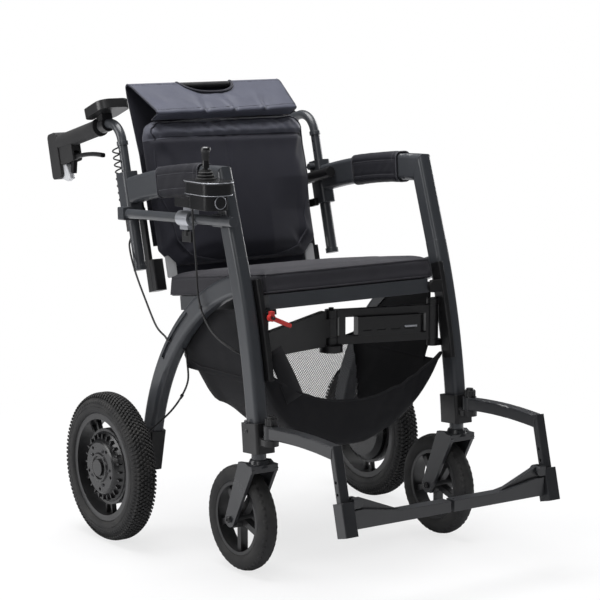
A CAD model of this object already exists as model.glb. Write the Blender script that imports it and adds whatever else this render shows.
"""Rollator transport chair, dressed: paint, rubber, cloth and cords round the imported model."""
import math

import bmesh
import bpy
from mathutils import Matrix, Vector, noise
from mathutils.bvhtree import BVHTree


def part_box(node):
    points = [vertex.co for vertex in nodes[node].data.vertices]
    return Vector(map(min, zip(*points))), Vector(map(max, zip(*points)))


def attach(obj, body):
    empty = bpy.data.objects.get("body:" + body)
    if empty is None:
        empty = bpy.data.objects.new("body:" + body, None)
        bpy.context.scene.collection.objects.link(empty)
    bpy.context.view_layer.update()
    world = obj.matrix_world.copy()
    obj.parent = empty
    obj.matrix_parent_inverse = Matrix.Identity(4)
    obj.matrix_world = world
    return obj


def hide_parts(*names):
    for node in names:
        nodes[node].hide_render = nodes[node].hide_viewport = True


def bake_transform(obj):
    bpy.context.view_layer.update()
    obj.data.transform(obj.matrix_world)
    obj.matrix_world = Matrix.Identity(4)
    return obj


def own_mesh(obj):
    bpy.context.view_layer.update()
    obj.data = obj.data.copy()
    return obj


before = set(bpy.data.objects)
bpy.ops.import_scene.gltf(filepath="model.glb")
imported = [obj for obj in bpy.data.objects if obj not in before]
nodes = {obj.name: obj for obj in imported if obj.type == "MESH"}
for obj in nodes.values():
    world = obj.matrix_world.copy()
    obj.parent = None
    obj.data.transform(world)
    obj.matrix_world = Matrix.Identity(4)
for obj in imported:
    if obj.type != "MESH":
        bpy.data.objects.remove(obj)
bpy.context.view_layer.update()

# Layout of the chair in millimetres, as the part's source has it
MM = 0.001
SIDE_X = 239
REAR_X = 326
AXLE_Z = 150
REAR_R = 150
REAR_TYRE_W = 54
REAR_RIM_R = 109
CASTER_R = 104
CASTER_TYRE_W = 38
CASTER_RIM_R = 71
CASTER_Y = -348
BACK_LEAN = math.radians(14.5)
BACK_FOOT = (20, 538)
SEAT_PITCH = math.radians(7.5)
SEAT_FRONT = (-378, 516)
SEAT_W = 419.4
SEAT_DEPTH = 366
CUSHION_T = 52
CUSHION_LOW = 17
PAD_W = 396
PAD_L = 300
PAD_T = 48
PAD_LOW = 6
PAD_DROP = 14
PAD_OUT = -1
ELBOW_Y = -284.067
ELBOW_Z = 744
LEG_D = 40
TUBE_W = 30
BEAM_H = 54
EDGE_R = 9
HINGE_X = 212
CABLE_D = 4
CURL_WIRE_D = 3.2
CURL_D = 17
CURL_COUNT = 8

SIGN = {"left_": 1, "right_": -1}
CORNERS = ((-1, -1), (1, -1), (1, 1), (-1, 1))
ALONG_X = Vector((1, 0, 0))
scene = bpy.context.scene
tyre_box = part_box("left_rear_tyre")
SHIFT = (tyre_box[0].y + tyre_box[1].y) / 2


def at(x, y, z):
    """Point of the chair's layout in millimetres, as a point of the model in metres."""
    return Vector((x * MM, y * MM + SHIFT, z * MM))


def on_back(x, s, out):
    """Point beside the leaning back: s up the posts, out ahead of them."""
    y = BACK_FOOT[0] + s * math.sin(BACK_LEAN) - out * math.cos(BACK_LEAN)
    z = BACK_FOOT[1] + s * math.cos(BACK_LEAN) + out * math.sin(BACK_LEAN)
    return at(x, y, z)


def on_seat(x, back, up):
    """Point over the tilted seat: back from its front bar, up from its plane."""
    y = SEAT_FRONT[0] + back * math.cos(SEAT_PITCH) + up * math.sin(SEAT_PITCH)
    z = SEAT_FRONT[1] - back * math.sin(SEAT_PITCH) + up * math.cos(SEAT_PITCH)
    return at(x, y, z)


def unit(value):
    """Value held between 0 and 1."""
    return max(0.0, min(1.0, value))


def aimed(name, data, stand, look):
    """Camera or lamp that stands at one point and looks at another."""
    obj = bpy.data.objects.new(name, data)
    scene.collection.objects.link(obj)
    obj.location = stand
    obj.rotation_mode = "QUATERNION"
    obj.rotation_quaternion = (Vector(look) - Vector(stand)).to_track_quat("-Z", "Y")
    return obj


# Camera at the photograph's angle
view = bpy.data.cameras.new("photo_camera")
view.lens = 129.4
view.sensor_width = 36
view.clip_end = 40
scene.camera = aimed("photo_camera", view, at(-2456.1, -3683, 1138.1), at(-27.5, -238, 490.8))

# Materials
SOCKET = {"Colour": "NodeSocketColor", "Normal": "NodeSocketVector"}
MID_GREY = (0.5, 0.5, 0.5, 1)
DUST_COLOUR = (0.20, 0.19, 0.17, 1)
RELIEF_DEPTH = 0.0004


class Shader:
    """Node tree with short ways to add nodes and link them."""

    def __init__(self, tree):
        self.tree = tree

    def fill(self, node, values):
        """Gives a node's inputs, by label or number, a value or a link from another node."""
        for label, value in values.items():
            if isinstance(value, bpy.types.NodeSocket):
                self.tree.links.new(value, node.inputs[label])
            else:
                node.inputs[label].default_value = value

    def put(self, kind, values=None, **settings):
        node = self.tree.nodes.new(kind)
        for key, value in settings.items():
            setattr(node, key, value)
        self.fill(node, values or {})
        return node

    def sums(self, operation, *values, clamp=False):
        node = self.put("ShaderNodeMath", dict(enumerate(values)), operation=operation, use_clamp=clamp)
        return node.outputs[0]

    def plus(self, a, b, clamp=False):
        return self.sums("ADD", a, b, clamp=clamp)

    def minus(self, a, b, clamp=False):
        return self.sums("SUBTRACT", a, b, clamp=clamp)

    def times(self, a, b, clamp=False):
        return self.sums("MULTIPLY", a, b, clamp=clamp)

    def mix(self, blend, factor, a, b):
        values = {0: factor, 6: a, 7: b}
        return self.put("ShaderNodeMix", values, data_type="RGBA", blend_type=blend).outputs[2]

    def split(self, vector):
        """The three parts of a vector."""
        return self.put("ShaderNodeSeparateXYZ", {0: vector}).outputs

    def speckle(self, scale, detail):
        """Cloudy noise that keeps its place on the piece."""
        place = self.put("ShaderNodeTexCoord").outputs["Object"]
        return self.put("ShaderNodeTexNoise", {"Scale": scale, "Detail": detail, "Vector": place}).outputs["Fac"]

    def tinted(self, colour, gain):
        """Colour made lighter or darker by a gain."""
        grey = self.put("ShaderNodeCombineColor", {k: gain for k in range(3)})
        return self.mix("MULTIPLY", 1.0, colour, grey.outputs[0])

    def relief(self, strength, height, **under):
        """Normal of the surface with a fine height on it."""
        values = {"Strength": strength, "Distance": RELIEF_DEPTH, "Height": height, **under}
        return self.put("ShaderNodeBump", values).outputs["Normal"]

    def grouped(self, group, **values):
        return self.put("ShaderNodeGroup", values, node_tree=group).outputs

    def dusted(self, colour, amount):
        return self.mix("MIX", self.grouped(DUST, Amount=amount)["Mask"], colour, DUST_COLOUR)


# Shader node groups, each an effect that several finishes share
def new_group(build, **inputs):
    """Node group with these defaults for its inputs; build links its nodes and gives its outputs by label."""
    tree = bpy.data.node_groups.new(build.__name__, "ShaderNodeTree")
    for label, value in inputs.items():
        kind = SOCKET.get(label, "NodeSocketFloat")
        tree.interface.new_socket(label, in_out="INPUT", socket_type=kind).default_value = value
    sh = Shader(tree)
    outputs = build(sh, tree.nodes.new("NodeGroupInput").outputs)
    for label in outputs:
        tree.interface.new_socket(label, in_out="OUTPUT", socket_type=SOCKET.get(label, "NodeSocketFloat"))
    sh.fill(tree.nodes.new("NodeGroupOutput"), outputs)
    return tree


def coat_grain(sh, given):
    """Cloudy shade over the whole piece and fine texture of the surface."""
    cloud = sh.speckle(14.0, 5.0)
    fine = sh.speckle(given["Grain"], 2.0)
    swing = sh.minus(sh.plus(sh.times(cloud, 0.7), sh.times(fine, 0.3)), 0.5)
    gain = sh.plus(sh.times(swing, given["Shade"]), 1.0)
    return {"Colour": sh.tinted(given["Colour"], gain), "Height": fine, "Cloud": cloud}


def rubbed_edges(sh, given):
    """Edges rounded by the coating, and a mask where hands and kerbs have rubbed them."""
    bevel = sh.put("ShaderNodeBevel", {"Radius": given["Radius"]}, samples=4).outputs["Normal"]
    flat = sh.put("ShaderNodeNewGeometry").outputs["Normal"]
    dot = sh.put("ShaderNodeVectorMath", {0: bevel, 1: flat}, operation="DOT_PRODUCT").outputs["Value"]
    sharp = sh.times(sh.minus(1.0, dot), 6.0, clamp=True)
    patch = sh.minus(sh.times(sh.speckle(60.0, 6.0), 2.4), 0.75, clamp=True)
    return {"Mask": sh.times(sh.times(sharp, patch), given["Amount"], clamp=True), "Normal": bevel}


def crossed_threads(sh, given):
    """Crossed threads that run with the chair's own axes, whichever way the cloth faces."""
    place = sh.split(sh.put("ShaderNodeTexCoord").outputs["Object"])
    turn = sh.times(given["Threads"], 2 * math.pi)
    x, y, z = (sh.sums("SINE", sh.times(place[k], turn)) for k in range(3))
    weave = sh.plus(sh.times(x, y), sh.plus(sh.times(y, z), sh.times(z, x)))
    cloud = sh.minus(sh.speckle(9.0, 4.0), 0.5)
    gain = sh.plus(sh.times(weave, sh.times(given["Contrast"], 0.4)),
                   sh.plus(sh.times(cloud, given["Shade"]), 1.0))
    return {"Colour": sh.tinted(given["Colour"], gain), "Height": sh.plus(sh.times(weave, 0.25), 0.5)}


def settled_dust(sh, given):
    """Pale dust that lies where a surface faces up."""
    facing = sh.split(sh.put("ShaderNodeNewGeometry").outputs["Normal"])
    up = sh.plus(sh.times(facing["Z"], 0.5), 0.5, clamp=True)
    patch = sh.minus(sh.times(sh.speckle(given["Size"], 8.0), 2.0), 0.55, clamp=True)
    return {"Mask": sh.times(sh.times(up, patch), given["Amount"], clamp=True)}


GRAIN = new_group(coat_grain, Colour=MID_GREY, Shade=0.2, Grain=900.0)
EDGES = new_group(rubbed_edges, Radius=0.0012, Amount=0.4)
WEAVE = new_group(crossed_threads, Colour=MID_GREY, Threads=700.0, Contrast=0.3, Shade=0.3)
DUST = new_group(settled_dust, Amount=0.1, Size=35.0)
FINISH = {}


def start_finish(name):
    mat = FINISH[name] = bpy.data.materials.new(name)
    mat.use_nodes = True
    return Shader(mat.node_tree), mat.node_tree.nodes["Principled BSDF"]


def hard_finish(name, colour, rough, metal=0.0, grain=900.0, bump=0.05, shade=0.3, rub=0.35,
                rub_colour=(0.30, 0.31, 0.32), dust=0.05, coat=0.0, edge=0.0012, gloss=0.5):
    """Painted metal, bare metal or moulded plastic."""
    sh, skin = start_finish(name)
    base = sh.grouped(GRAIN, Colour=(*colour, 1), Shade=shade, Grain=grain)
    edges = sh.grouped(EDGES, Radius=edge, Amount=rub)
    worn = sh.mix("MIX", edges["Mask"], base["Colour"], (*rub_colour, 1))
    sh.fill(skin, {
        "Base Color": sh.dusted(worn, dust), "Roughness": sh.plus(sh.times(base["Cloud"], 0.16), rough - 0.08),
        "Metallic": metal, "Coat Weight": coat, "Coat Roughness": 0.25, "Specular IOR Level": gloss,
        "Normal": sh.relief(bump, base["Height"], Normal=edges["Normal"])})


def cloth_finish(name, colour, rough=0.8, threads=700.0, contrast=0.35, shade=0.35, bump=0.25, sheen=0.15,
                 dust=0.03):
    """Woven cloth with crossed threads, a faint bloom and cloudy shade."""
    sh, skin = start_finish(name)
    weave = sh.grouped(WEAVE, Colour=(*colour, 1), Threads=threads, Contrast=contrast, Shade=shade)
    sh.fill(skin, {
        "Base Color": sh.dusted(weave["Colour"], dust), "Roughness": rough, "Sheen Weight": sheen,
        "Sheen Roughness": 0.45, "Specular IOR Level": 0.22, "Normal": sh.relief(bump, weave["Height"])})


def net_finish(name, colour):
    """Open net: slanting threads with holes between them."""
    sh, skin = start_finish(name)
    weave = sh.grouped(WEAVE, Colour=(*colour, 1), Threads=900.0, Contrast=0.4, Shade=0.2)
    place = sh.split(sh.put("ShaderNodeUVMap", uv_map="cloth").outputs["UV"])
    threads = []
    for turn in ("ADD", "SUBTRACT"):
        slant = sh.times(sh.sums(turn, place["X"], place["Y"]), 760.0)
        threads.append(sh.sums("LESS_THAN", sh.sums("ABSOLUTE", sh.sums("SINE", slant)), 0.56))
    sh.fill(skin, {"Base Color": weave["Colour"], "Roughness": 0.75, "Alpha": sh.sums("MAXIMUM", *threads)})


hard_finish("frame_grey", (0.040, 0.0435, 0.050), 0.36, shade=0.25, coat=0.15, rub=0.22)
hard_finish("black_satin", (0.009, 0.009, 0.010), 0.34, shade=0.35, rub=0.25, rub_colour=(0.12, 0.12, 0.13),
            gloss=0.45)
hard_finish("black_plastic", (0.010, 0.010, 0.011), 0.36, grain=1600.0, bump=0.12, rub=0.12,
            rub_colour=(0.07, 0.07, 0.07))
hard_finish("grip_rubber", (0.014, 0.014, 0.015), 0.72, grain=1300.0, bump=0.2, rub=0.1,
            rub_colour=(0.04, 0.04, 0.04))
hard_finish("tyre", (0.010, 0.010, 0.011), 0.78, grain=1100.0, bump=0.2, shade=0.5, rub=0.2,
            rub_colour=(0.05, 0.05, 0.05), dust=0.18)
hard_finish("motor_grey", (0.011, 0.011, 0.012), 0.27, metal=0.2, grain=1400.0, bump=0.1, rub=0.3,
            rub_colour=(0.14, 0.14, 0.15))
hard_finish("cord_black", (0.011, 0.011, 0.012), 0.5, rub=0.0, dust=0.03, edge=0.0004)
hard_finish("silver", (0.42, 0.43, 0.46), 0.34, metal=0.85, rub=0.3, rub_colour=(0.7, 0.7, 0.72), shade=0.2)
hard_finish("red_plastic", (0.62, 0.035, 0.03), 0.38, rub=0.2, rub_colour=(0.75, 0.25, 0.22), shade=0.2)
hard_finish("gloss_black", (0.009, 0.009, 0.010), 0.22, grain=1600.0, bump=0.02, rub=0.2,
            rub_colour=(0.2, 0.2, 0.21))
hard_finish("pale_tab", (0.50, 0.50, 0.51), 0.45, rub=0.1, rub_colour=(0.6, 0.6, 0.6), shade=0.15)
hard_finish("dark_zinc", (0.10, 0.10, 0.105), 0.35, metal=0.8, rub=0.3)
hard_finish("dark_coat", (0.022, 0.023, 0.026), 0.30, shade=0.25, rub=0.25, rub_colour=(0.2, 0.2, 0.21))
hard_finish("milky_plastic", (0.66, 0.67, 0.69), 0.30, rub=0.1, rub_colour=(0.75, 0.75, 0.76), shade=0.15,
            bump=0.02)
cloth_finish("cloth_navy", (0.027, 0.027, 0.037), rough=0.7, threads=820.0, sheen=0.08)
cloth_finish("cloth_charcoal", (0.009, 0.009, 0.011), threads=620.0, sheen=0.04)
cloth_finish("cloth_flap", (0.073, 0.077, 0.104), rough=0.5, threads=760.0, sheen=0.08, shade=0.25)
cloth_finish("roll_cloth", (0.105, 0.108, 0.135), rough=0.6)
cloth_finish("seat_cloth", (0.032, 0.031, 0.037), rough=0.62, threads=900.0, sheen=0.05)
cloth_finish("sleeve_cloth", (0.009, 0.009, 0.014), rough=0.62, threads=820.0, sheen=0.06)
cloth_finish("dark_lining", (0.012, 0.012, 0.014), threads=620.0, sheen=0.05)
cloth_finish("seam_thread", (0.060, 0.060, 0.070), threads=1500.0, sheen=0.1)
net_finish("bag_net", (0.05, 0.05, 0.055))


def both(*names):
    return [side + name for side in SIGN for name in names]


# The frame's nodes, each in its own finish
for finish, names in (
        ("frame_grey", both("side_frame", "back_post", "handle_tube") + ["joystick_bar", "seat_frame"]),
        ("dark_coat", both("footrest_arm", "caster_fork", "foot_bar")),
        ("black_satin", both("axle_bracket", "backrest_rail", "brake_lever", "footrest_collar", "hinge_post",
                             "fold_link") + ["battery", "clamp_screw"]),
        ("black_plastic", both("rear_rim", "caster_rim", "footrest_knob")
         + ["console", "joystick_gimbal", "cord_connector"]),
        ("motor_grey", both("hub_motor")),
        ("grip_rubber", both("grip") + ["joystick_boot"]),
        ("gloss_black", ["joystick_pod", "power_button", "joystick_stick"]),
        ("silver", ["joystick_clamp"]),
        ("red_plastic", ["lock_lever"])):
    for name in names:
        for slot in nodes[name].material_slots:
            slot.material = FINISH[finish]
        if not nodes[name].material_slots:
            nodes[name].data.materials.append(FINISH[finish])


# Mesh making
def shade_smooth(mesh):
    mesh.polygons.foreach_set("use_smooth", [True] * len(mesh.polygons))


def piece(name, verts, faces, body, slot, finish=None, smooth=True):
    """New piece that rides with a body; its finish is its slot's where no other is named."""
    mesh = bpy.data.meshes.new(name)
    mesh.from_pydata([tuple(v) for v in verts], [], faces)
    mesh.update()
    if smooth:
        shade_smooth(mesh)
    obj = bpy.data.objects.new(name, mesh)
    scene.collection.objects.link(obj)
    mesh.materials.append(FINISH[finish or slot])
    if body:
        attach(obj, body)
    return obj


class Stock:
    """Vertices and faces that several shapes are added to before they become one piece."""

    def __init__(self):
        self.verts = []
        self.faces = []

    def add(self, verts, faces):
        start = len(self.verts)
        self.verts.extend(verts)
        self.faces.extend([tuple(start + k for k in f) for f in faces])

    def tube(self, points, radius, sides=8, closed=False):
        self.add(*tube(points, radius, sides, closed))

    def made(self, name, body, slot, finish=None, smooth=True):
        return piece(name, self.verts, self.faces, body, slot, finish, smooth)


def directions(a, b, count):
    """Directions spread evenly round the turn that starts from a towards b."""
    turns = [2 * math.pi * k / count for k in range(count)]
    return [math.cos(t) * a + math.sin(t) * b for t in turns]


def crossways(points):
    """Two directions across each point of a route, that turn as little as possible."""
    last = len(points) - 1
    pairs = []
    across = None
    for i in range(last + 1):
        ahead = (points[min(i + 1, last)] - points[max(i - 1, 0)]).normalized()
        if across is None:
            across = ahead.orthogonal().normalized()
        across = (across - ahead * across.dot(ahead)).normalized()
        pairs.append((across, ahead.cross(across)))
    return pairs


def band(rows, count, closed=False):
    """Quads between rings of count points; closed joins the last ring to the first."""
    faces = []
    for i in range(rows if closed else rows - 1):
        j = (i + 1) % rows
        for k in range(count):
            n = (k + 1) % count
            faces.append((i * count + k, i * count + n, j * count + n, j * count + k))
    return faces


def slab(rings, closed=False):
    """Solid from rings of points in the same order, with two end faces or joined into a loop."""
    n, m = len(rings), len(rings[0])
    faces = band(n, m, closed)
    if not closed:
        faces += [tuple(reversed(range(m))), tuple(range((n - 1) * m, n * m))]
    return [p for ring in rings for p in ring], faces


def tube(points, radius, sides=8, closed=False):
    """Round tube along a route."""
    rings = [[p + radius * ray for ray in directions(a, b, sides)]
             for p, (a, b) in zip(points, crossways(points))]
    return slab(rings, closed)


def lathe(profile, centre, axis, count):
    """Ring of (radius, along) points turned about an axis."""
    axis = axis.normalized()
    a = axis.orthogonal().normalized()
    verts = []
    faces = []
    m = len(profile)
    for i, ray in enumerate(directions(a, axis.cross(a), count)):
        verts.extend(centre + ray * r + axis * d for r, d in profile)
        j = (i + 1) % count
        for k in range(m - 1):
            faces.append((i * m + k, i * m + k + 1, j * m + k + 1, j * m + k))
    return verts, faces


def grid_quads(rows, cols):
    """Each quad of a grid of points, with its row and column."""
    for r in range(rows):
        for c in range(cols):
            k = r * (cols + 1) + c
            yield r, c, (k, k + 1, k + cols + 2, k + cols + 1)


def near_knots(points, i):
    """The two points that a stretch of a route joins, between the ones before and after them."""
    last = len(points) - 1
    return points[max(i - 1, 0)], points[i], points[i + 1], points[min(i + 2, last)]


def between(a, b, c, e, t):
    """Place on a smooth curve from b to c, for points or numbers."""
    return 0.5 * (2 * b + (c - a) * t + (2 * a - 5 * b + 4 * c - e) * t * t + (3 * b - a - 3 * c + e) * t ** 3)


def smooth_route(points, steps):
    """Curve through hand-chosen points, the one that the part's source uses."""
    route = [between(*near_knots(points, i), j / steps) for i in range(len(points) - 1) for j in range(steps)]
    return route + [points[-1].copy()]


def route_length(points):
    return sum((b - a).length for a, b in zip(points, points[1:]))


def changed(obj, kind, **settings):
    """Runs a modifier on a piece and makes what it shows the piece's own mesh."""
    modifier = obj.modifiers.new(kind.lower(), kind)
    for key, value in settings.items():
        setattr(modifier, key, value)
    graph = bpy.context.evaluated_depsgraph_get()
    mesh = bpy.data.meshes.new_from_object(obj.evaluated_get(graph))
    obj.modifiers.clear()
    obj.data = mesh
    shade_smooth(mesh)


def thicken(obj, thickness, offset=0.0):
    changed(obj, "SOLIDIFY", thickness=thickness, offset=offset)


def trimmed(obj, rounds=0, within=0.0):
    """Deletes points that no face uses, then evens the rim's points that lie within a distance of the middle."""
    mesh = bmesh.new()
    mesh.from_mesh(obj.data)
    bmesh.ops.delete(mesh, geom=[v for v in mesh.verts if not v.link_faces], context="VERTS")
    rim = [v for v in mesh.verts if v.is_boundary]
    for _ in range(rounds):
        moved = {v: sum((e.other_vert(v).co for e in v.link_edges if e.is_boundary), Vector()) / 2 for v in rim}
        for v, co in moved.items():
            if abs(v.co.x) < within:
                v.co = v.co.lerp(co, 0.5)
    mesh.to_mesh(obj.data)
    mesh.free()


# Cords first
BRACKET_S = 107.685
BEND_S = 263.685
CURL_FROM = BRACKET_S + 28
CURL_TO = BEND_S + 2
CURL_OUT = -20 - CURL_D / 2 - 1
CURL_STEPS = 24
CURL_UP = Vector((0, math.sin(BACK_LEAN), math.cos(BACK_LEAN)))
CURL_BACK = CURL_UP.cross(ALONG_X)
CONNECTOR_DROP = 52
CABLE_LEAD = 12
ROUTE_STEPS = 6


def curl_axis(f):
    return on_back(-SIDE_X, CURL_FROM + (CURL_TO - CURL_FROM) * f, CURL_OUT)


def curl_points():
    """The curly lead's wire, from the console down to the connector."""
    r = (CURL_D - CURL_WIRE_D) / 2 * MM
    count = CURL_COUNT * CURL_STEPS
    coils = [(0.06 + 0.88 * i / count, 2 * math.pi * i / CURL_STEPS) for i in range(count + 1)]
    return [curl_axis(f) + r * (math.cos(a) * ALONG_X + math.sin(a) * CURL_BACK)
            for f, a in reversed([(0, 0), (0.03, 0)] + coils + [(0.97, 0), (1, 0)])]


def hang_cord(name, node, points):
    """Cable that hangs along a route and goes into the chair at its far end; gives the route."""
    route = smooth_route(points, ROUTE_STEPS)
    obj = piece(name, *tube(route, CABLE_D * MM / 2, 12), "right_side", "cord_black")
    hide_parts(node)
    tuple(route[0])
    route_length(route)
    return route


def lay_cords():
    curls = curl_points()
    curly = piece("curly_lead", *tube(curls, CURL_WIRE_D / 2 * MM, 10), None, "cord_black")
    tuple(curls[0])
    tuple(curls[-1])
    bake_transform(curly)
    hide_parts("curly_cord")
    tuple(curls[0])
    route_length(curls)
    end = curls[-1] - CONNECTOR_DROP * MM * CURL_UP
    hang_cord("brake_cable_line", "brake_cable", [end, end - CABLE_LEAD * MM * CURL_UP] + [at(*p) for p in (
        (-252, 40, 584), (-260, 6, 540), (-263, -40, 485), (-264, -80, 440), (-257.5, -101.9, 421.8),
        (-256.5, -108.8, 416), (-251.9, -114.2, 411.5))])
    stick = hang_cord("joystick_lead", "control_cables", [at(*p) for p in (
        (-282, -246, 689.6), (-282, -246, 676), (-276, -240, 640), (-266, -232, 580), (-262, -232, 520),
        (-262, -252, 480), (-262, -290, 450), (-250, -330, 428), (-226, -344, 414), (-212, -346, 408))])
    motor = hang_cord("motor_lead", "control_cables", [at(*p) for p in (
        (-236, -136.5, 399.4), (-236, -145, 391.5), (-237, -151, 375), (-238, -155, 340), (-238, -132, 305),
        (-245, -102, 270), (-259, -66, 236), (-270, -30, 206), (-276, -12, 186), (-277, -5, 169.8))])
    ties = Stock()
    strap = [(0.0021, -0.002), (0.0034, -0.002), (0.0034, 0.002), (0.0021, 0.002)]
    for route, share in ((motor, 0.45), (motor, 0.72), (stick, 0.5)):
        k = int(share * (len(route) - 1))
        ahead = (route[k + 1] - route[k]).normalized()
        ties.add(*lathe(strap, route[k], ahead, 16))
        head = route[k] + ahead.orthogonal().normalized() * 0.0048
        ties.tube([head - ahead * 0.003, head + ahead * 0.003], 0.0024, 6)
    ties.made("cable_ties", "right_side", "cord_black", smooth=False)


lay_cords()


# Stage and light
def white_for_camera(sh, lit, kind, output, share=None):
    """Shows white to the camera, or a share of it, while all other rays meet what is lit."""
    white = sh.put(kind, {"Color": (1, 1, 1, 1), "Strength": 1.0})
    path = sh.put("ShaderNodeLightPath").outputs
    seen = sh.sums("MAXIMUM", path["Is Camera Ray"], path["Is Transmission Ray"])
    if share is not None:
        seen = sh.times(seen, share)
    join = sh.put("ShaderNodeMixShader", {0: seen, 1: lit.outputs[0], 2: white.outputs[0]})
    sh.fill(sh.tree.nodes[output], {"Surface": join.outputs[0]})


def lay_stage():
    reach = 14
    mesh = bpy.data.meshes.new("floor")
    mesh.from_pydata([(x * reach, y * reach, 0) for x, y in CORNERS], [], [(0, 1, 2, 3)])
    floor = bpy.data.objects.new("floor", mesh)
    scene.collection.objects.link(floor)
    sh, skin = start_finish("white_floor")
    sh.fill(skin, {"Base Color": (0.80, 0.80, 0.81, 1), "Roughness": 0.9, "Specular IOR Level": 0.0})
    place = sh.put("ShaderNodeNewGeometry").outputs["Position"]
    away = sh.put("ShaderNodeVectorMath", {0: place}, operation="LENGTH").outputs["Value"]
    clear = sh.put("ShaderNodeMapRange", {"Value": away, "From Min": 0.55, "From Max": 1.5, "To Min": 0.74,
                                          "To Max": 1.0}, interpolation_type="SMOOTHSTEP")
    white_for_camera(sh, skin, "ShaderNodeEmission", "Material Output", clear.outputs["Result"])
    mesh.materials.append(FINISH["white_floor"])

    world = scene.world = bpy.data.worlds.new("studio")
    world.use_nodes = True
    sh = Shader(world.node_tree)
    base = sh.tree.nodes["Background"]
    sh.fill(base, {"Color": (0.92, 0.95, 1.0, 1), "Strength": 0.11})
    white_for_camera(sh, base, "ShaderNodeBackground", "World Output")

    for name, stand, look, size, power in (
            ("top_box", (-0.2, 0.3, 3.0), (0, 0, 0.4), 2.0, 112),
            ("left_box", (-2.7, 1.3, 1.3), (0, 0, 0.5), 1.5, 36),
            ("right_box", (3.0, 0.8, 1.5), (0, 0, 0.5), 1.5, 44),
            ("front_box", (-2.6, -2.2, 2.2), (0, 0, 0.5), 1.0, 14)):
        lamp = bpy.data.lights.new(name, "AREA")
        lamp.shape = "SQUARE"
        lamp.size = size
        lamp.energy = power
        aimed(name, lamp, stand, look)
    scene.view_settings.view_transform = "Standard"


lay_stage()

# Tyres with their tread, in metres
RIM_GAP = 0.0004
REAR_CROWN = (REAR_R - 2.4) * MM
CASTER_CROWN = (CASTER_R - 1.6) * MM
TREAD_COUNT = 104
NOTCH_COUNT = 48
# Each row's distance across, shift in steps, length, width, height and lean
TREAD_ROWS = ((0.0068, 0.5, 0.0058, 0.0052, 0.0022, 0.4), (0.0133, 0.0, 0.0056, 0.0050, 0.0021, 0.5),
              (0.0187, 0.5, 0.0052, 0.0044, 0.0019, 0.6))


def turned(centre, x, r, a):
    """Point at a radius and an angle round a wheel's axle."""
    return centre + Vector((x, r * math.cos(a), r * math.sin(a)))


def tyre_profile(half, mid, lip, foot, reach, steps, shaped):
    """Closed section of a tyre as (radius, across) points, between its feet on the rim."""
    profile = [(lip, -foot)]
    for k in range(steps + 1):
        t = math.radians(-reach + 2 * reach * k / steps)
        r, across = mid + half * math.cos(t), half * math.sin(t)
        if r > lip + 0.0001:
            profile.append(shaped(r, across))
    return profile + [(lip, foot), (lip, -foot)]


def tread_block(stock, centre, radius, across, angle, length, width, height, lean=0.0):
    """One rubber block on a tyre that turns about X, at an angle and at a distance across the crown."""
    rings = []
    for lift, share in ((-0.002, 1.0), (height * 0.75, 0.94), (height, 0.82)):
        ring = []
        for u, v in CORNERS:
            x = across + v * width / 2 * share
            a = angle + (u * length / 2 * share + lean * v * width / 2) / radius
            ring.append(turned(centre, x, radius + lift - max(0.0, abs(x) - 0.006) ** 2 * 24, a))
        rings.append(ring)
    stock.add(*slab(rings))


def shoulder_lug(stock, centre, mid, half, angle, s, span, reach, top, narrow, flare=0.0):
    """Low lug down one shoulder of a tyre, over a span of distances across."""
    rings = []
    for x in span:
        r = mid + math.sqrt(half * half - x * x)
        rings.append([turned(centre, s * (x + lift * flare), r + lift, angle + u * reach / (mid + half))
                      for u, lift in ((-1, -0.001), (1, -0.001), (narrow, top), (-narrow, top))])
    stock.add(*slab(rings if s > 0 else rings[::-1]))


def rear_tyre(side):
    """Air tyre with smooth walls and close rows of small knobs."""
    centre = at(SIGN[side] * REAR_X, 0, AXLE_Z)
    half = REAR_TYRE_W / 2 * MM
    mid = REAR_CROWN - half
    profile = tyre_profile(half, mid, REAR_RIM_R * MM + RIM_GAP, 0.0205, 128, 28,
                           lambda r, across: (r, across * (0.97 if abs(across) > 0.9 * half else 1.0)))
    stock = Stock()
    stock.add(*lathe(profile, centre, ALONG_X, 128))
    for r, across in ((0.118, 0.0232), (0.123, 0.0255)):
        for s in (-1, 1):
            stock.tube([turned(centre, s * across, r, 2 * math.pi * k / 96) for k in range(96)], 0.0009, 6, True)
    step = 2 * math.pi / TREAD_COUNT
    for k in range(TREAD_COUNT):
        a = k * step
        tread_block(stock, centre, REAR_CROWN, 0.0, a, 0.0056, 0.0052, 0.0022)
        for s in (-1, 1):
            for across, shift, length, width, height, lean in TREAD_ROWS:
                tread_block(stock, centre, REAR_CROWN, s * across, a + step * shift, length, width, height, lean * s)
            shoulder_lug(stock, centre, mid, half, a, s, (0.0218, 0.0256), 0.0017, 0.0011, 0.7, 0.5)
    obj = stock.made(side + "rear_tyre_treaded", side + "rear_wheel", "tyre")
    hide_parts(side + "rear_tyre")


def grooved(r, across):
    """Point of the caster's crown, lower in its grooves."""
    return r - (0.0011 if min(abs(abs(across) - g) for g in (0.0045, 0.0095)) < 0.0014 else 0.0), across


def caster_tyre(side):
    """Smooth solid tyre with a ribbed crown and notched shoulders."""
    centre = at(SIGN[side] * SIDE_X, CASTER_Y, CASTER_R)
    half = CASTER_TYRE_W / 2 * MM
    mid = CASTER_CROWN - half
    profile = tyre_profile(half, mid, CASTER_RIM_R * MM + RIM_GAP, 0.0150, 118, 24, grooved)
    stock = Stock()
    stock.add(*lathe(profile, centre, ALONG_X, 112))
    for k in range(NOTCH_COUNT):
        a = 2 * math.pi * k / NOTCH_COUNT
        for s in (-1, 1):
            shoulder_lug(stock, centre, mid, half, a, s, (0.0105, 0.0150), 0.0036, 0.0006, 0.75)
    obj = stock.made(side + "caster_tyre_ribbed", side + "caster_wheel", "tyre")
    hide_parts(side + "caster_tyre")


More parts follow.
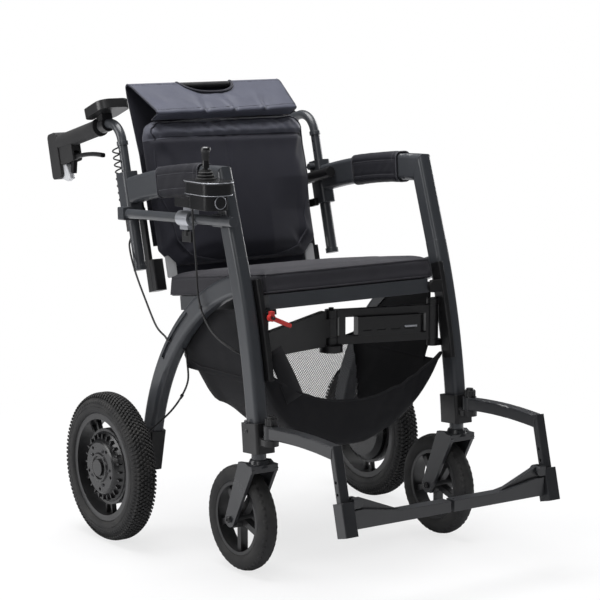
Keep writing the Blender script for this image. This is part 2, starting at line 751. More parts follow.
for side in SIGN:
    rear_tyre(side)
    caster_tyre(side)

# Pads, shaped flat in metres and then placed on the chair
VOXEL = 0.006
SWELL_STEPS = 20
SWELL_CAP = 0.005
FILLING = {"quality": 6, "mass": 0.2, "tension_stiffness": 20, "compression_stiffness": 12, "shear_stiffness": 8,
           "bending_stiffness": 0.6, "use_pressure": True, "vertex_group_mass": "held"}


def swell(obj, floor, pressure):
    """Cloth blown up a little over its filling; points under floor stay, and no point moves further than the cap."""
    rest = [v.co.copy() for v in obj.data.vertices]
    pins = obj.vertex_groups.new(name="held")
    pins.add([i for i, p in enumerate(rest) if p.z < floor], 1.0, "REPLACE")
    cloth = obj.modifiers.new("filling", "CLOTH")
    for key, value in FILLING.items():
        setattr(cloth.settings, key, value)
    cloth.settings.uniform_pressure_force = pressure
    cloth.settings.effector_weights.gravity = 0
    cloth.collision_settings.use_collision = False
    cloth.collision_settings.use_self_collision = False
    cloth.point_cache.frame_start = 1
    cloth.point_cache.frame_end = SWELL_STEPS + 5
    for f in range(1, SWELL_STEPS + 1):
        scene.frame_set(f)
    graph = bpy.context.evaluated_depsgraph_get()
    blown = [v.co.copy() for v in obj.evaluated_get(graph).data.vertices]
    obj.modifiers.clear()
    scene.frame_set(1)
    for v, a, b in zip(obj.data.vertices, rest, blown):
        move = b - a
        if move.length > SWELL_CAP:
            move *= SWELL_CAP / move.length
        v.co = a + move
    obj.data.update()


def upholstered(name, outline, steps, body, finish, floor, pressure):
    """Pad from a panel's outline, with an inset at each height: a block, then swollen cloth over it."""
    rings = []
    for inset, rise in steps:
        scales = [1 - inset / p.length for p in outline]
        rings.append([Vector((p.x * k, p.y * k, rise)) for p, k in zip(outline, scales)])
    obj = piece(name, *slab(rings), body, "cloth_navy", finish)
    changed(obj, "REMESH", mode="VOXEL", voxel_size=VOXEL, use_smooth_shade=True)
    swell(obj, floor, pressure)
    changed(obj, "SMOOTH", factor=0.5, iterations=2)
    changed(obj, "SUBSURF", levels=1, render_levels=1)
    return obj


def put_in_place(obj, placed):
    for v in obj.data.vertices:
        v.co = placed(v.co)
    obj.data.update()


def narrow_in_fold(pieces):
    """Cloth between the sides is pushed together towards the left one in the fold."""
    for soft in pieces:
        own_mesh(soft)


def dent(gap, width, depth):
    return depth * math.exp(-((gap / width) ** 2))


def crease(seed, u, v, spread=1.0):
    """Soft cloth wrinkle field, the same on every run."""
    return noise.noise(Vector((u * spread, v * spread * 0.45, seed)))


def walls_of(obj):
    return BVHTree.FromPolygons([v.co for v in obj.data.vertices], [p.vertices for p in obj.data.polygons])


def hug(walls, outline, height):
    """Loop on a padded piece's wall at a height, where the outline's points meet it on their way in."""
    loop = []
    for p in outline:
        ray = Vector((-p.x, -p.y, 0)).normalized()
        hit = walls.ray_cast(Vector((p.x * 1.2, p.y * 1.2, height)), ray)[0]
        loop.append(hit if hit else Vector((p.x, p.y, height)))
    return loop


def rounded_outline(width, length, corners, steps=8):
    """Outline of a panel, with a radius or a cut for each corner, from the low left one."""
    points = []
    w, l = width / 2, length / 2
    for k, (sx, sy) in enumerate(CORNERS):
        kind, size = corners[k]
        ways = [Vector((0, -sy)), Vector((-sx, 0))]
        before, after = (Vector((sx * w, sy * l)) + size * way for way in (ways if k % 2 == 0 else ways[::-1]))
        if kind == "cut":
            points += [before, after]
        else:
            middle = Vector((sx * (w - size), sy * (l - size)))
            for j in range(steps + 1):
                a = (before - middle).normalized().lerp((after - middle).normalized(), j / steps).normalized()
                points.append(middle + a * size)
    return points


def dense_outline(outline, gap):
    """Closed outline with more points, about a gap apart."""
    dense = []
    for p, q in zip(outline, outline[1:] + outline[:1]):
        n = max(1, int((q - p).length / gap))
        dense += [p.lerp(q, j / n) for j in range(n)]
    return dense


def seat_pad():
    """Upholstered seat: a flat top, upright walls and a welt along its edges."""
    room = 0.010
    w, l, t = SEAT_W * MM - room, SEAT_DEPTH * MM - room, CUSHION_T * MM - room
    corners = [("round", 0.014)] * 4
    steps = ((0.004, 0.0), (0.0, 0.003), (0.0, t * 0.5), (0.001, t * 0.86), (0.005, t * 0.97), (0.016, t))
    obj = upholstered("seat_pad", rounded_outline(w, l, corners), steps, "seat", "seat_cloth", 0.0035, 3.5)
    for v in obj.data.vertices:
        p = v.co
        u, s = p.x / (w / 2), p.y / (l / 2)
        top = unit((p.z - t * 0.7) / (t * 0.3))
        p.z += top * 0.004 * (1 - u * u) * (1 - s * s)
        p.z += top * 0.0006 * crease(3.0, u * 5, s * 5, 1.7)
        if max(abs(u), abs(s)) > 0.94 and p.z < t * 0.9:
            puff = 1 - 0.004 * crease(5.0, p.x * 40, p.y * 40)
            p.x *= puff
            p.y *= puff
        for edge in (-1, 1):
            p.y += dent(math.hypot(p.x - edge * w / 2, p.y + l / 2), 0.010, 0.0016)
    walls = walls_of(obj)

    def placed(p):
        return on_seat(p.x / MM, (p.y + SEAT_DEPTH * MM / 2) / MM - 6, CUSHION_LOW + 0.4 + p.z / MM)

    put_in_place(obj, placed)
    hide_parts("seat_cushion")
    welt = Stock()
    low = 0.004
    edge = dense_outline(rounded_outline(w, l, corners, 6), 0.02)
    for height, radius in ((t * 0.88, 0.0021), (low, 0.0016)):
        welt.tube([placed(p) for p in hug(walls, edge, height)], radius, 8, True)
    for sx in (-1, 1):
        corner = [Vector((sx * (w / 2 - 0.003), -l / 2 + 0.003))]
        welt.tube([placed(hug(walls, corner, low + (t * 0.86 - low) * k / 8)[0]) for k in range(9)], 0.0012, 6)
    rim = welt.made("seat_welt", "seat", "cloth_navy", "seat_cloth")
    for soft in (obj, rim):
        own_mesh(soft)


def back_pad():
    """Backrest pad: one broad panel, a roll above its upper seam, and cut lower corners."""
    room = 0.012
    w, l, t = PAD_W * MM - room, (PAD_L + PAD_DROP) * MM - room, PAD_T * MM - room
    middle = PAD_LOW + (PAD_L - PAD_DROP) / 2
    outline = dense_outline(rounded_outline(w, l, [("cut", 0.036)] * 2 + [("round", 0.030)] * 2), 0.03)
    steps = ((0.0, 0.0), (-0.002, t * 0.3), (-0.002, t * 0.62), (0.006, t * 0.88), (0.016, t))
    obj = upholstered("back_pad", outline, steps, "left_side", None, 0.002, 4.0)
    seam_v, seam_bow, fold_x = 0.111, 0.003, -0.016
    for v in obj.data.vertices:
        p = v.co
        front = unit((p.z - t * 0.45) / (t * 0.4))
        u, s = p.x / (w / 2), p.y / (l / 2)
        p.z += front * 0.005 * (1 - u * u) * (1 - s * s)
        p.z -= front * dent(p.y - seam_v + seam_bow * u, 0.0060, 0.0085)
        if p.y > seam_v:
            p.z += front * 0.0036 * crease(2.0, p.x * 60 + p.y * 50, p.y * 18)
            p.z -= front * 0.002 * (p.y - seam_v) / 0.03
        else:
            p.z -= front * dent(p.x - fold_x, 0.006, 0.0016)
            p.z += front * 0.0012 * crease(4.0, p.x * 12, p.y * 10)
            p.z -= front * 0.002 * dent(p.y - seam_v + 0.030, 0.02, 1.0) * (0.5 + crease(8.0, p.x * 30, 0.2))
        p.z *= 1 - 0.32 * (unit((0.1 - s) / 0.45) * unit((abs(u) - 0.35) / 0.4))
    walls = walls_of(obj)
    obj.data.materials.append(FINISH["roll_cloth"])
    for face in obj.data.polygons:
        face.material_index = 1 if face.center.y > seam_v else 0

    def placed(p):
        return on_back(p.x / MM, middle + p.y / MM, PAD_OUT + 0.4 + p.z / MM)

    put_in_place(obj, placed)
    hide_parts("backrest_pad")
    trim = Stock()
    trim.tube([placed(p) for p in hug(walls, outline, t * 0.74)], 0.0019, 8, True)
    line = []
    for k in range(49):
        x = (-0.5 + k / 48) * (w - 0.040)
        high = walls.ray_cast(Vector((x, seam_v - seam_bow * x / (w / 2), 0.2)), Vector((0, 0, -1)))[0]
        if high:
            line.append(placed(high))
    trim.tube(line, 0.0011, 6)
    edge = trim.made("back_pad_piping", "left_side", "cloth_navy")
    tabs = Stock()
    for s in (-1, 1):
        x = s * (PAD_W / 2 - 26)
        tabs.add(*slab([[on_back(x + u * wide, PAD_LOW + up, PAD_OUT + out)
                         for u, out in ((-1, 9.2), (1, 9.2), (1, 13), (-1, 13))]
                        for up, wide in ((-28, 9), (-26, 11), (4, 11), (14, 11), (17, 9))]))
    plates = tabs.made("back_pad_tabs", "left_side", "cloth_navy", "pale_tab", smooth=False)
    rows, cols = 8, 30
    wide, long = 330, 44
    cloth = []
    for r in range(rows + 1):
        for c in range(cols + 1):
            x = wide * (c / cols - 0.5)
            wave = 1.5 * crease(12.0, x / 50, r / 6) * r / rows
            cloth.append(on_back(x, PAD_LOW + 10 - long * r / rows, 2.5 + wave))
    quads = [quad for _, _, quad in grid_quads(rows, cols)]
    skirt = piece("back_pad_skirt", cloth, quads, "left_side", "cloth_navy")
    thicken(skirt, 0.0018, -1.0)
    narrow_in_fold((obj, edge, plates, skirt))


# Flap over the back pad's top, in millimetres
FLAP_W = 376
FLAP_DEPTH = 120
FLAP_RISE = math.radians(41)
FRONT_S = PAD_LOW + PAD_L + 4
FRONT_OUT = PAD_OUT + PAD_T + 6
RIDGE_S = FRONT_S + FLAP_DEPTH * math.sin(FLAP_RISE)
RIDGE_OUT = FRONT_OUT - FLAP_DEPTH * math.cos(FLAP_RISE)
HOLE_W, HOLE_H = 66, 50
GATHERS = ((-70, 0.5), (8, -0.15), (92, 0.35))
STITCHES = 60
LIFT_OUT = 0.7
LIFT_UP = LIFT_OUT * math.sin(0.86)


def flap_line():
    """The flap's path from its tuck over the front edge and the ridge to its hem behind the pad."""
    knots = [(PAD_LOW + PAD_L - 6, PAD_OUT + 26), (FRONT_S - 4, FRONT_OUT - 9), (FRONT_S - 3, FRONT_OUT - 1.5),
             (FRONT_S + 3, FRONT_OUT - 4)]
    for f in (k / 10 for k in range(1, 10)):
        knots.append((FRONT_S + 3 + (RIDGE_S - 5 - FRONT_S) * f, FRONT_OUT - 4 + (RIDGE_OUT + 10 - FRONT_OUT) * f))
    knots += [(RIDGE_S - 4, RIDGE_OUT + 5), (RIDGE_S - 1.5, RIDGE_OUT), (RIDGE_S - 6, RIDGE_OUT - 5)]
    eighths = [k / 8 for k in range(1, 9)]
    knots += [(RIDGE_S - 10 + (PAD_L - 60 - RIDGE_S + 10) * f, RIDGE_OUT - 7 + (-25 - RIDGE_OUT + 7) * f)
              for f in eighths]
    return knots + [(PAD_L - 60 + (PAD_LOW + 42 - PAD_L + 60) * f, -25 + 4 * f) for f in eighths]


def back_flap():
    """Sloping flap over the pad's top with a hand opening, and its back panel."""
    line = flap_line()
    lengths = [0.0]
    for a, b in zip(line, line[1:]):
        lengths.append(lengths[-1] + math.hypot(b[0] - a[0], b[1] - a[1]))
    total = lengths[-1]
    front_from, front_to, ridge_d = lengths[3], lengths[13], lengths[14]
    rows, cols = 150, 110

    def along(d):
        """Place up the posts and ahead of them, at a distance along the flap's path."""
        i = next((i for i in range(len(line) - 2) if d <= lengths[i + 1]), len(line) - 2)
        f = (d - lengths[i]) / (lengths[i + 1] - lengths[i])
        return [a + (b - a) * f for a, b in zip(line[i], line[i + 1])]

    def drawn(x, d):
        """The flap is drawn in towards its front edge, more on the chair's left."""
        share = unit((front_to - d) / (front_to - front_from))
        return x * (1 - (0.05 if x < 0 else 0.12) * share)

    def lifted(x, d):
        """How far the cloth stands off its path: gathers at the front edge, wrinkles and a sag."""
        lift = 0.0
        if front_from - 14 < d < front_to:
            f = max(0.0, (d - front_from) / (front_to - front_from))
            for spot, lean in GATHERS:
                gap = x - spot - lean * f * 60
                lift += 4.4 * dent(gap, 5 + 15 * f, 1.0) * (1 - f) ** 1.3
                lift -= 3.2 * dent(gap - 11, 7 + 14 * f, 1.0) * (1 - f) ** 1.3
            lift += 4.0 * crease(1.0, x / 60, d / 30, 1.3) * math.sin(math.pi * min(1.0, f + 0.15))
            lift += 1.5 * crease(14.0, x / 24 + d / 40, d / 22) * math.sin(math.pi * min(1.0, f + 0.1))
            lift -= 3.0 * math.sin(math.pi * f) * (1 - (2 * x / FLAP_W) ** 2)
        elif d >= front_to:
            f = (d - front_to) / (total - front_to)
            lift += 1.6 * crease(6.0, x / 70, d / 60, 1.2) * math.sin(math.pi * f)
        return lift

    def in_hole(x, d):
        drop = ridge_d + 1 - d
        if drop < -2 or drop > HOLE_H:
            return False
        return (abs(x + 2) / HOLE_W) ** 2.6 + (max(drop, 0.0) / HOLE_H) ** 2.2 < 1

    verts = []
    for r in range(rows + 1):
        d = total * r / rows
        s, out = along(d)
        for c in range(cols + 1):
            x = FLAP_W * (c / cols - 0.5)
            lift = lifted(x, d)
            verts.append(on_back(drawn(x, d), s + lift * LIFT_UP, out + lift * LIFT_OUT))
    front, rear = [], []
    seam_row = int((ridge_d + 7) / total * rows)
    for r, c, quad in grid_quads(rows, cols):
        if not in_hole(FLAP_W * ((c + 0.5) / cols - 0.5), total * (r + 0.5) / rows):
            (front if r <= seam_row else rear).append(quad)
    obj = piece("back_flap", verts, front, "left_side", "cloth_flap")
    behind = piece("flap_back_panel", verts, rear, "left_side", "cloth_navy")
    for cloth in (obj, behind):
        trimmed(cloth, 3, (FLAP_W / 2 - 1) * MM)
        thicken(cloth, 0.0022)
    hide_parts("backrest_flap")
    bind = Stock()
    loop = []
    for k in range(33):
        a = math.pi * k / 32
        x = -HOLE_W * math.copysign(abs(math.cos(a)) ** 0.8, math.cos(a)) - 2
        d = ridge_d + 1 - HOLE_H * math.sin(a) ** 0.9
        s, out = along(d)
        loop.append(on_back(drawn(x, d), s + 0.4, out + 0.4))
    bind.tube(loop, 0.0030)
    for sx in (-1, 1):
        reached = [total * r / rows for r in range(0, rows + 1, 3)]
        bind.tube([on_back(drawn(sx * (FLAP_W / 2 - 1.5), d), *along(d)) for d in reached], 0.0019, 6)
    stitch = Stock()
    raised = 0.0013 * (on_back(0, 0.656, 0.755) - on_back(0, 0, 0)).normalized()
    for drop in (4, 104):
        row = round((front_from + drop) / total * rows) * (cols + 1)
        for n in range(STITCHES):
            places = [FLAP_W * ((n + k) / STITCHES - 0.5) for k in (0.1, 0.8)]
            ends = [verts[row + round((x / FLAP_W + 0.5) * cols)] + raised for x in places]
            if (ends[1] - ends[0]).length > 1e-4:
                stitch.tube(ends, 0.0006, 5)
    seams = stitch.made("flap_stitches", "left_side", "cloth_flap", "seam_thread")
    binding = bind.made("flap_binding", "left_side", "cloth_flap", "cloth_navy")
    bar = [on_back(-HOLE_W - 6 + (2 * HOLE_W + 10) * k / 20, RIDGE_S - 8.5, RIDGE_OUT + 0.5) for k in range(21)]
    grip = piece("flap_hand_grip", *tube(bar, 0.0070, 14), "left_side", "grip_rubber")
    narrow_in_fold((obj, behind, binding, grip, seams))


# Storage bag and its wings, in millimetres
BAG_TOP, BAG_LOW = 384, 216
BAG_FRONT, BAG_REAR = -392, -96
TROUGH_R = ((HINGE_X + 6) ** 2 + (396 - BAG_LOW) ** 2) / (2 * (396 - BAG_LOW))
LIP_R, LIP_LOW = 330, 312
NET_FROM = 0.50
# Each fold's place across, lean and size
BAG_FOLDS = ((0.62, 0.5, 4.2), (0.78, 0.35, 3.4), (0.42, 0.7, 2.6), (-0.55, -0.5, 3.6), (-0.74, -0.3, 3.2))


def bag_floor(x):
    return BAG_LOW + TROUGH_R - math.sqrt(TROUGH_R ** 2 - min(abs(x), HINGE_X) ** 2)


def bag_lip(x):
    return min(BAG_TOP, max(LIP_LOW + LIP_R - math.sqrt(LIP_R ** 2 - x * x), bag_floor(x)))


def bag_point(u, v):
    """u runs from side to side, v from the front lip under the bag to the rear rim."""
    x = (HINGE_X - 2.5) * u
    low = bag_floor(x) + 2
    lip = max(bag_lip(x), low)
    rear = max(BAG_TOP - 24 * (1 - u * u), low)
    knots = [(BAG_FRONT + 1.5, lip), (BAG_FRONT + 6, low + (lip - low) * 0.55),
             (BAG_FRONT + 15, low + (lip - low) * 0.16), (BAG_FRONT + 42, low), (BAG_REAR - 150, low),
             (BAG_REAR - 104, max(low, BAG_LOW + 26)), (BAG_REAR - 52, max(low, BAG_LOW + 84)), (BAG_REAR - 3, rear)]
    f = v * (len(knots) - 1)
    i = min(int(f), len(knots) - 2)
    y, z = (between(*four, f - i) for four in zip(*near_knots(knots, i)))
    return x, y, max(z, BAG_LOW + 2)


def in_net(u, v):
    """The net's place in the bag: narrow on the floor and broad at the rear rim."""
    return v > NET_FROM and abs(u) < min(0.22 + 1.3 * (v - NET_FROM), 0.80)


def storage_bag():
    """Hanging bag: dark cloth front, floor and sides, and an open net in its rear wall."""
    rows, cols = 84, 92
    verts = []
    for r in range(rows + 1):
        v = r / rows
        back, up = (0.8, 0.2) if v < 0.35 else (0.2, 0.7)
        for c in range(cols + 1):
            u = math.sin(math.pi / 2 * (2 * c / cols - 1) * 0.96) / math.sin(math.pi / 2 * 0.96)
            x, y, z = bag_point(u, v)
            hang = max(0.0, 1 - abs(u) ** 4)
            fold = 0.0
            for spot, lean, size in BAG_FOLDS:
                fold += size * dent(u - spot + lean * v * 1.4, 0.05 + 0.05 * v, 1.0) * max(0.0, 1 - v * 2.4)
            fold += (3.4 * crease(9.0, x / 55, y / 55 + z / 60) + 1.4 * crease(15.0, x / 22 + z / 40, z / 30)) * hang
            verts.append(at(x, y + fold * back, max(z + fold * up * hang, BAG_LOW + 1)))
    faces = []
    net = []
    ends = {}
    for r, c, quad in grid_quads(rows, cols):
        if in_net(2 * (c + 0.5) / cols - 1, (r + 0.5) / rows):
            net.append(quad)
            ends[r] = (ends.get(r, quad)[0], quad[1])
        else:
            faces.append(quad)
    shell = piece("bag_shell", verts, faces, "left_side", "cloth_charcoal")
    panel = piece("bag_net_panel", verts, net, "left_side", "cloth_charcoal", "bag_net")
    chart = panel.data.uv_layers.new(name="cloth")
    for loop in panel.data.loops:
        r, c = divmod(loop.vertex_index, cols + 1)
        chart.data[loop.index].uv = ((2 * c / cols - 1) * HINGE_X * MM, r / rows * 0.55)
    trimmed(shell)
    trimmed(panel)
    thicken(shell, 0.0016)
    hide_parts("storage_bag")
    hem = Stock()
    for r in (0, rows):
        hem.tube([verts[r * (cols + 1) + c] for c in range(cols + 1)], 0.0024, 6)
    for c in (0, cols):
        hem.tube([verts[r * (cols + 1) + c] for r in range(0, rows + 1, 2)], 0.0020, 6)
    sides = list(ends.values())
    hem.tube(verts[sides[0][0]:sides[0][1] + 1], 0.0019, 6)
    for end in (0, 1):
        hem.tube([verts[pair[end]] for pair in sides], 0.0019, 6)
    binding = hem.made("bag_hem", "left_side", "cloth_charcoal", "dark_lining")
    rings = []
    for f in (k / 8 for k in range(9)):
        x, y, z = -146 - 46 * f, BAG_FRONT + 0.5 + 5 * f - 3 * math.sin(math.pi * f), 330 + 98 * f
        wide = 18 - 2 * f
        rings.append([at(x + s * wide, y + deep, z + s * wide * 0.45)
                      for s, deep in ((1, 0), (-1, 0), (-1, 1.8), (1, 1.8))])
    tape = piece("bag_tapes", *slab(rings[::-1]), "left_side", "cloth_charcoal", "dark_lining")
    narrow_in_fold((shell, panel, binding, tape))


WING_FROM, WING_L, WING_LOW = -338, 234, 354


def wing_top(y):
    """Upper edge of a bag's side wing: under the curved rear leg, then under the seat."""
    return min(128 + math.sqrt(430 ** 2 - (y + 452) ** 2), 502 - 0.12 * (y + 340))


def bag_wing(side):
    """Cloth wing that joins the bag's side to the frame between the front leg and the curved rear one."""
    sign = SIGN[side]
    rows, cols = 16, 30
    verts = []
    for r in range(rows + 1):
        for c in range(cols + 1):
            y = WING_FROM + WING_L * c / cols
            z = WING_LOW + (max(wing_top(y), WING_LOW + 2) - WING_LOW) * r / rows
            lean = unit((z - WING_LOW) / 60)
            x = 207.4 + 15 * lean * lean * (3 - 2 * lean)
            x -= 1.6 * (0.5 + crease(11.0, y / 40, z / 60)) * math.sin(math.pi * r / rows)
            verts.append(at(sign * x, y, z))
    faces = [quad for _, _, quad in grid_quads(rows, cols)]
    obj = piece(side + "bag_wing", verts, faces, side + "side", "cloth_charcoal")
    thicken(obj, 0.0014)
    hem = Stock()
    hem.tube([p - Vector((sign * 0.001, 0, 0.001)) for p in verts[rows * (cols + 1):]], 0.0014, 6)
    hem.tube([p - Vector((sign * 0.001, 0, 0)) for p in verts[::cols + 1]], 0.0014, 6)
    edge = hem.made(side + "bag_wing_hem", side + "side", "cloth_charcoal", "dark_lining")


# Arm sleeves, in millimetres
BEAM_Y0 = ELBOW_Y - LEG_D
BACK_GAP = 20
BEAM_R = ((BACK_FOOT[0] - BEAM_Y0) * math.cos(BACK_LEAN) + (ELBOW_Z - BACK_FOOT[1]) * math.sin(BACK_LEAN)
          - BACK_GAP) / math.sin(BACK_LEAN)
SLEEVE_FROM, SLEEVE_L = 60 + LEG_D, 150
HALF_W, HALF_H = TUBE_W / 2, BEAM_H / 2
SEAM_HIGH, SEAM_LOW = HALF_H - 13, 12 - HALF_H


def on_beam(sign, travel, across, up):
    """Point round the curved arm beam: travel back from its front, across it and up from its middle."""
    a = travel / BEAM_R
    r = BEAM_R + up
    return at(sign * (SIDE_X + across), BEAM_Y0 + r * math.sin(a), ELBOW_Z - BEAM_R + r * math.cos(a))


def beam_section():
    """Points round the beam's section, each with the direction out of it."""
    w, h = HALF_W - EDGE_R, HALF_H - EDGE_R
    around = []
    steps = 10
    for k, (sx, sy) in enumerate(((1, -1), (1, 1), (-1, 1), (-1, -1))):
        for j in range(steps + 1):
            a = math.radians(-90 + 90 * k + 90 * j / steps)
            around.append((sx * w + EDGE_R * math.cos(a), sy * h + EDGE_R * math.sin(a), math.cos(a), math.sin(a)))
        if k in (0, 2):
            around += [(sx * HALF_W, sy * h - 2 * sy * h * j / 10, float(sx), 0.0) for j in range(1, 10)]
        else:
            around += [(sx * w - 2 * sx * w * j / 6, sy * HALF_H, 0.0, float(sy)) for j in range(1, 6)]
    return around


def arm_sleeve(side):
    """Padded sleeve round the arm beam, with bound ends and two seams along each side."""
    sign = SIGN[side]
    around = beam_section()
    m = len(around)
    rows = 46

    def loop_at(f, off):
        """Ring round the beam at a share of the sleeve's length, off its surface."""
        return [on_beam(sign, SLEEVE_FROM + SLEEVE_L * f, x + nx * off, y + ny * off) for x, y, nx, ny in around]

    verts = []
    for r in range(rows + 1):
        f = r / rows
        end = min(f, 1 - f) * SLEEVE_L
        for x, y, nx, ny in around:
            puff = 4.2 * min(1.0, (end + 1.2) / 7.0) ** 0.5
            for seam in (SEAM_HIGH, SEAM_LOW):
                puff -= 1.7 * dent(y - seam, 1.6, 1.0) * abs(nx)
            puff += 0.9 * crease(7.0 + sign, f * 7 + y / 24, x / 20 + y / 18)
            puff = max(puff, 0.5)
            verts.append(on_beam(sign, SLEEVE_FROM + SLEEVE_L * f, x + nx * puff, y + ny * puff))
    faces = band(rows + 1, m)
    inner = len(verts)
    verts += loop_at(0.0, 0.15) + loop_at(1.0, 0.15)
    for k in range(m):
        n = (k + 1) % m
        faces.append((k, inner + k, inner + n, n))
        faces.append((rows * m + k, rows * m + n, inner + m + n, inner + m + k))
        faces.append((inner + k, inner + m + k, inner + m + n, inner + n))
    obj = piece(side + "arm_sleeve", verts, faces, side + "side", "cloth_navy", "sleeve_cloth")
    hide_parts(side + "arm_pad")
    trim = Stock()
    for f, size in ((0.0, 0.0017), (1.0, 0.0015), (0.09, 0.0009)):
        trim.tube(loop_at(f, 3.2), size, 6, True)
    for y in (SEAM_HIGH, SEAM_LOW):
        for sx in (-1, 1):
            trim.tube([on_beam(sign, SLEEVE_FROM + 6 + (SLEEVE_L - 12) * k / 24, sx * (HALF_W + 2.9), y)
                       for k in range(25)], 0.0007, 6)
    trim.made(side + "arm_sleeve_binding", side + "side", "cloth_navy", "seam_thread")


seat_pad()
back_pad()
back_flap()
storage_bag()
for side in SIGN:
    bag_wing(side)
    arm_sleeve(side)

# Fasteners and small fittings
SCREW_SIDES = 20
SOCKET_SHARE = 0.45
HUB_SCREWS, HUB_SCREW_R = 5, 36


def screw_head(centre, axis, radius, height):
    """Button screw with a hexagon socket."""
    profile = [(radius, -0.0006), (radius, height * 0.45), (radius * 0.82, height * 0.85), (radius * 0.55, height)]
    verts, faces = lathe(profile, centre, axis, SCREW_SIDES)
    a = axis.orthogonal().normalized()
    m = len(profile)
    start = len(verts)
    for depth in (height, height * 0.25):
        for k, ray in enumerate(directions(a, axis.cross(a), SCREW_SIDES)):
            t = 2 * math.pi * k / SCREW_SIDES
            flat = math.cos(math.pi / 6) / math.cos((t % (math.pi / 3)) - math.pi / 6)
            verts.append(centre + ray * radius * SOCKET_SHARE * flat + axis * depth)
    deep = start + SCREW_SIDES
    for k in range(SCREW_SIDES):
        n = (k + 1) % SCREW_SIDES
        faces.append((k * m + m - 1, n * m + m - 1, start + n, start + k))
        faces.append((start + k, start + n, deep + n, deep + k))
    faces.append(tuple(deep + k for k in range(SCREW_SIDES)))
    return verts, faces


def fit_screws(name, body, finish, spots, radius, height):
    """One piece of screw heads, each at a point and facing one way along X."""
    heads = Stock()
    for spot, s in spots:
        heads.add(*screw_head(spot, ALONG_X * s, radius, height))
    heads.made(name, body, "silver", finish)


def outer_x(node):
    """How far out from the chair's middle a node reaches, in millimetres."""
    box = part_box(node)
    return max(box[1].x, -box[0].x) / MM


def fit_fasteners(side):
    sign = SIGN[side]
    collar = sign * outer_x(side + "footrest_collar")
    fit_screws(side + "collar_screws", side + "side", "dark_zinc",
               [(at(collar, -392.5, z), sign) for z in (300, 282)], 0.0042, 0.0028)
    drum = sign * (outer_x(side + "hub_motor") - 5.4)
    turns = [math.radians(36 + 360 / HUB_SCREWS * k) for k in range(HUB_SCREWS)]
    fit_screws(side + "hub_screws", side + "rear_wheel", "dark_zinc",
               [(at(drum, HUB_SCREW_R * math.cos(a), AXLE_Z + HUB_SCREW_R * math.sin(a)), sign) for a in turns],
               0.0034, 0.0022)
    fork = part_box(side + "caster_fork")
    fit_screws(side + "caster_bolts", side + "caster_yoke", "black_satin",
               [(at(end.x / MM, CASTER_Y, CASTER_R), s) for end, s in zip(fork, (-1, 1))], 0.0065, 0.0026)


for side in SIGN:
    fit_fasteners(side)


def profile_block(outline, x0, x1, ease):
    """Flat block between two X planes, with eased edges, from an outline of (y, z) points."""
    mid_y, mid_z = (sum(row) / len(outline) for row in zip(*outline))
    rings = []
    for x, inset in ((x0, ease), (x0 + ease, 0.0), (x1 - ease, 0.0), (x1, ease)):
        ring = []
        for y, z in outline:
            k = 1 - inset / max(math.hypot(y - mid_y, z - mid_z), 1.0)
            ring.append(at(x, mid_y + (y - mid_y) * k, mid_z + (z - mid_z) * k))
        rings.append(ring)
    return slab(rings)


def fit_latches():
    """Pale parking latch under each grip's end."""
    fin = [(331, 745), (335, 718), (331, 699), (306, 695), (291, 702), (299, 716), (311, 732)]
    for side, sign in SIGN.items():
        block = profile_block(fin, sign * SIDE_X - 6, sign * SIDE_X + 6, 1.6)
        piece(side + "parking_latch", *block, side + "handle", "silver", "milky_plastic", smooth=False)


# Each ring's height and radius, in millimetres
BOOT_RINGS = [(0, 19), (3, 19), (5, 15), (8, 17), (10.5, 13), (13.5, 14.5), (16, 11), (19, 11)]
BOOT_WALL = 2.0
BOOT_STEPS = 6


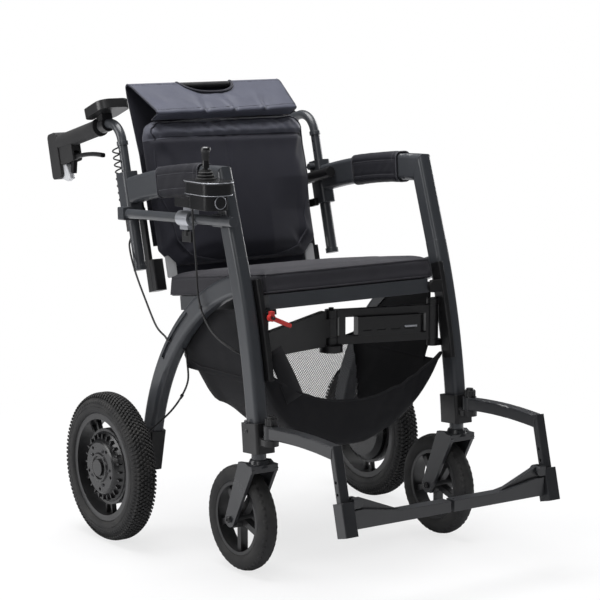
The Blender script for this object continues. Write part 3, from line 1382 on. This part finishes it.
def boot_part(name, rings):
    """Length of the stick's bellows, that bends from the body below it to the one above."""
    outer = []
    for (z0, r0), (z1, r1) in zip(rings, rings[1:]):
        for k in range(BOOT_STEPS):
            ease = (1 - math.cos(math.pi * k / BOOT_STEPS)) / 2
            outer.append((r0 + (r1 - r0) * ease, z0 + (z1 - z0) * k / BOOT_STEPS))
    outer.append((rings[-1][1], rings[-1][0]))
    profile = outer + [(r - BOOT_WALL, z) for r, z in reversed(outer)] + outer[:1]
    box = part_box("joystick_boot")
    foot = Vector(((box[0].x + box[1].x) / 2, (box[0].y + box[1].y) / 2, box[0].z))
    shape = lathe([(r * MM, z * MM) for r, z in profile], foot, Vector((0, 0, 1)), 40)
    obj = piece(name, *shape, None, "grip_rubber")
    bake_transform(obj)
    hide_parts("joystick_boot")


POD_X, POD_Y = -288.5, -313
BUTTON_Y, BUTTON_Z, BUTTON_R = -353.2, 710, 11.8
CATCH_FROM, CATCH_TO = 8, 34
CATCH_LOW, CATCH_HIGH = 437, 441.5


def fit_pod_trim():
    """Bright bead round the joystick housing's cover, and the catch plate on the battery."""
    bead = Stock()
    for wide, long, corner, z, radius in ((0.0666, 0.1046, 0.0262, 747.2, 0.0010),
                                          (0.0626, 0.1006, 0.0242, 723.6, 0.0008)):
        outline = rounded_outline(wide, long, [("round", corner)] * 4, 10)
        bead.tube([at(POD_X + p.x / MM, POD_Y + p.y / MM, z) for p in outline], radius, 8, True)
    turns = [2 * math.pi * k / 40 for k in range(40)]
    bead.tube([at(POD_X + BUTTON_R * math.cos(a), BUTTON_Y, BUTTON_Z + BUTTON_R * math.sin(a)) for a in turns],
              0.0009, 8, True)
    bead.made("pod_cover_bead", "right_side", "silver")
    rings = []
    for out, inset in ((0.1, 0.0), (1.0, 0.0), (1.5, 0.7)):
        first, last = CATCH_FROM + inset, CATCH_TO - inset
        low, high = CATCH_LOW + inset, CATCH_HIGH - inset
        rings.append([at(172.6 - 0.9585 * s - 0.285 * out, -369.9 + 0.2852 * s - 0.9585 * out, z)
                      for s, z in ((first, low), (last, low), (last, high), (first, high))])
    piece("battery_catch", *slab(rings), "left_link", "silver", smooth=False)


fit_latches()
fit_pod_trim()
boot_part("boot_bellows", BOOT_RINGS[:4])
boot_part("boot_collar", BOOT_RINGS[3:])
